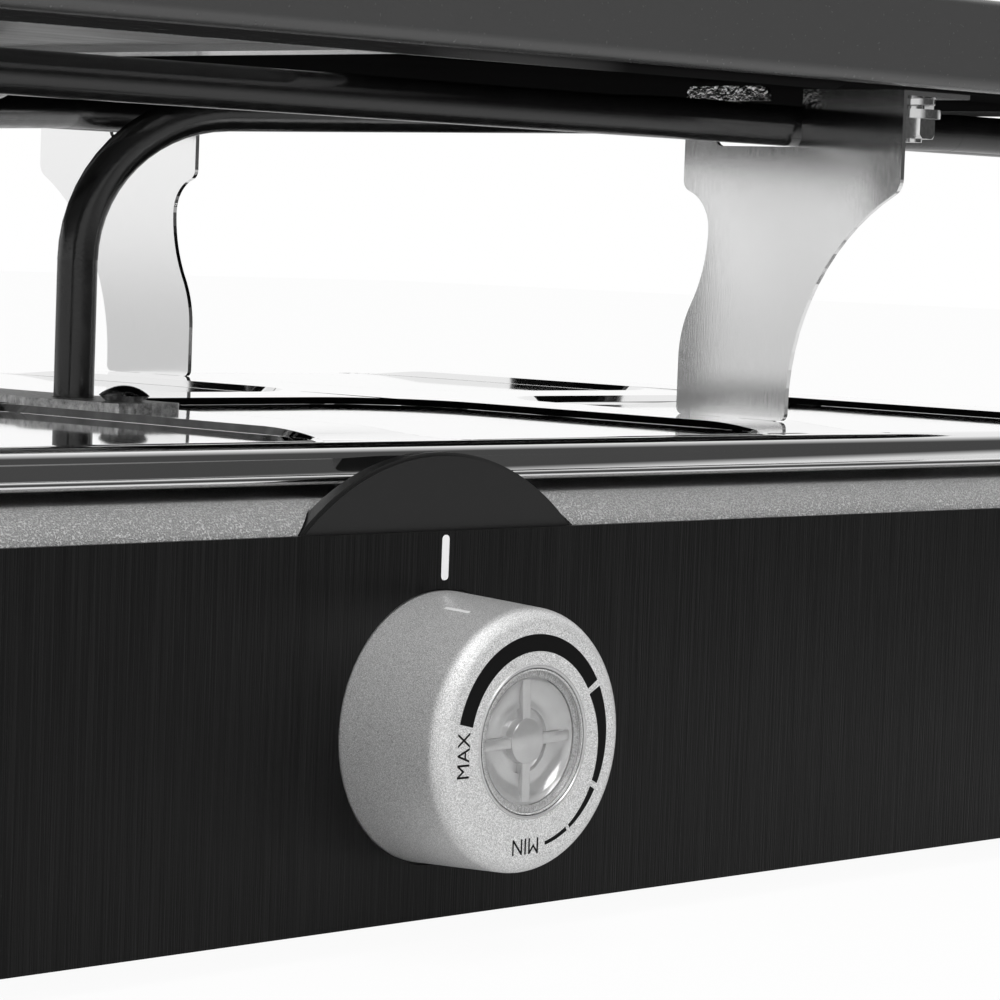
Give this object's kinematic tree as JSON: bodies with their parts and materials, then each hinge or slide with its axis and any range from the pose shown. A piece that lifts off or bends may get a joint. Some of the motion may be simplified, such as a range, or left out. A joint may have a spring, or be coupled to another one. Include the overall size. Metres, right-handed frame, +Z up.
{
  "type": "raclette grill",
  "caption": "Countertop raclette grill with a mirror drip tray, a bent tube element on brackets, and a lift-off stone and ribbed plate over pan bays.",
  "frame": {"origin": "middle of the whole object's plan, at the height of the surface the feet stand on", "axes": "+X along the long front, to the right as seen from the knob side; +Y to the back; +Z up"},
  "size_m": [0.438, 0.2548, 0.148],
  "materials": {
    "textured_plastic": "grey fine-grained moulded plastic",
    "black_brushed": "black finely brushed panel, satin",
    "dark_plate": "dark grey satin",
    "galvanised": "galvanised sheet, satin",
    "rubber": "black matt",
    "steel_screw": "zinc-plated",
    "black_plastic": "black satin",
    "white_ceramic": "unglazed white",
    "mirror_steel": "mirror-polished stainless sheet",
    "satin_steel": "satin stainless sheet",
    "tube_black": "dark oxidised steel tube",
    "spring_black": "black phosphate",
    "rail_black": "black enamel",
    "surround_grey": "dark grey satin coating",
    "grey_stone": "honed natural stone",
    "cast_coated": "cast plate with a dark non-stick coating",
    "silver_paint": "silver metallic paint on plastic",
    "clear_lens": "translucent grey plastic",
    "lamp_neon": "neon pilot lamp",
    "brass": "bright"
  },
  "bodies": {
    "base": {"base_housing": "textured_plastic", "front_panel": "black_brushed", "dial_backplate": "dark_plate", "bottom_cover": "galvanised", "cover_screws": "steel_screw", "rubber_feet": "rubber", "heat_shield": "galvanised", "cord_gland": "black_plastic", "gland_nut": "black_plastic", "terminal_block": "white_ceramic", "drip_tray": "mirror_steel", "tray_standoffs": "steel_screw", "tray_screws": "steel_screw", "element_clamp": "galvanised", "clamp_backing_bar": "galvanised", "clamp_screws": "spring_black", "heating_element": "tube_black", "cold_pins": "satin_steel", "ceramic_beads": "white_ceramic", "bracket_front_right": "satin_steel", "bracket_front_left": "satin_steel", "bracket_back_right": "satin_steel", "bracket_back_left": "satin_steel", "bracket_bolts": "steel_screw", "spring_washers": "spring_black", "flat_washers": "steel_screw", "hex_nuts": "steel_screw", "carrier_rail": "rail_black", "plate_surround": "surround_grey", "thermostat_body": "white_ceramic", "thermostat_screws": "steel_screw", "pilot_lamp": "lamp_neon"},
    "knob": {"thermostat_shaft": "brass", "shaft_clip": "satin_steel", "light_guide": "clear_lens", "knob_shell": "silver_paint"},
    "stone": {"stone_plate": "grey_stone"},
    "grill": {"grill_plate": "cast_coated"}
  },
  "joints": [
    {"name": "knob_turn", "type": "hinge", "parent": "base", "child": "knob", "pos_m": [0, -0.1174, 0.0326], "axis": [0, 1, 0], "range_deg": [-180, 90]},
    {"name": "stone_lift", "type": "slide", "parent": "base", "child": "stone", "axis": [0, 0, 1], "range_m": [0, 0.06]},
    {"name": "grill_lift", "type": "slide", "parent": "base", "child": "grill", "axis": [0, 0, 1], "range_m": [0, 0.06]}
  ]
}
